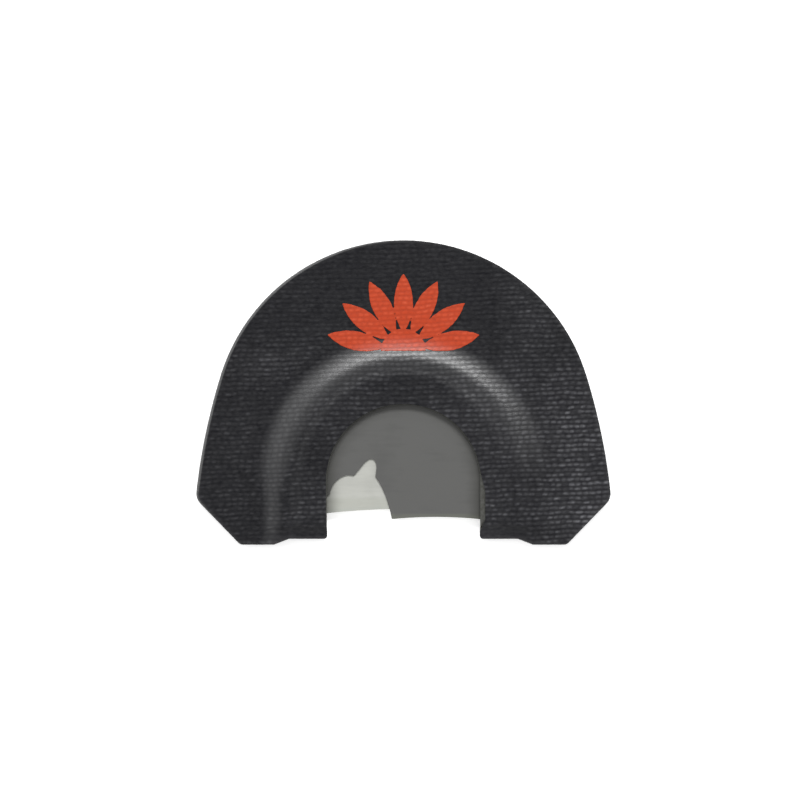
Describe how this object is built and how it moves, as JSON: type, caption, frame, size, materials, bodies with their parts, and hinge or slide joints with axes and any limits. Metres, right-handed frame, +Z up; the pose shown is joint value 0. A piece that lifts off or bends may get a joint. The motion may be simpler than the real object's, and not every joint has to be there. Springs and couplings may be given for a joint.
{
  "type": "diaphragm mouth call",
  "caption": "Diaphragm mouth call: cloth-taped skirt round a folded horseshoe frame that clamps stacked latex reeds, the top reed with a side cut.",
  "frame": {"origin": "centre of the underside of the call's bounding box", "axes": "+X to the caller's right, +Y to the closed end of the horseshoe, +Z up towards the palate"},
  "size_m": [0.05, 0.0368, 0.0023],
  "materials": {
    "cloth_tape": "black woven cloth tape, matte with a slight sheen",
    "frame_aluminium": "plain stamped sheet",
    "latex_grey": "satin dark grey latex",
    "latex_cream": "satin cream latex",
    "spacer_film": "thin amber film",
    "ink_orange": "flat orange-red ink"
  },
  "bodies": {
    "call_body": {"frame": "frame_aluminium", "lower_spacer": "spacer_film", "upper_spacer": "spacer_film", "lower_tape": "cloth_tape", "upper_tape": "cloth_tape", "printed_emblem": "ink_orange"},
    "top_flap": {"top_reed": "latex_grey"},
    "middle_flap": {"middle_reed": "latex_cream"},
    "bottom_flap": {"bottom_reed": "latex_cream"}
  },
  "joints": [
    {"name": "top_reed_lift", "type": "hinge", "parent": "call_body", "child": "top_flap", "pos_m": [0, -0.0016, 0.00131], "axis": [-1, 0, 0], "range_deg": [-3, 6], "stiffness_Nm_per_rad": 0.00015, "deforming": ["top_reed"]},
    {"name": "middle_reed_lift", "type": "hinge", "parent": "call_body", "child": "middle_flap", "pos_m": [0, -0.0016, 0.00113], "axis": [-1, 0, 0], "range_deg": [-3, 6], "stiffness_Nm_per_rad": 0.00015, "deforming": ["middle_reed"]},
    {"name": "bottom_reed_lift", "type": "hinge", "parent": "call_body", "child": "bottom_flap", "pos_m": [0, -0.0016, 0.00095], "axis": [-1, 0, 0], "range_deg": [-3, 6], "stiffness_Nm_per_rad": 0.00015, "deforming": ["bottom_reed"]}
  ],
  "couplings": [
    {"joint": "middle_reed_lift", "follows": "top_reed_lift", "ratio": 1},
    {"joint": "bottom_reed_lift", "follows": "top_reed_lift", "ratio": 1}
  ]
}
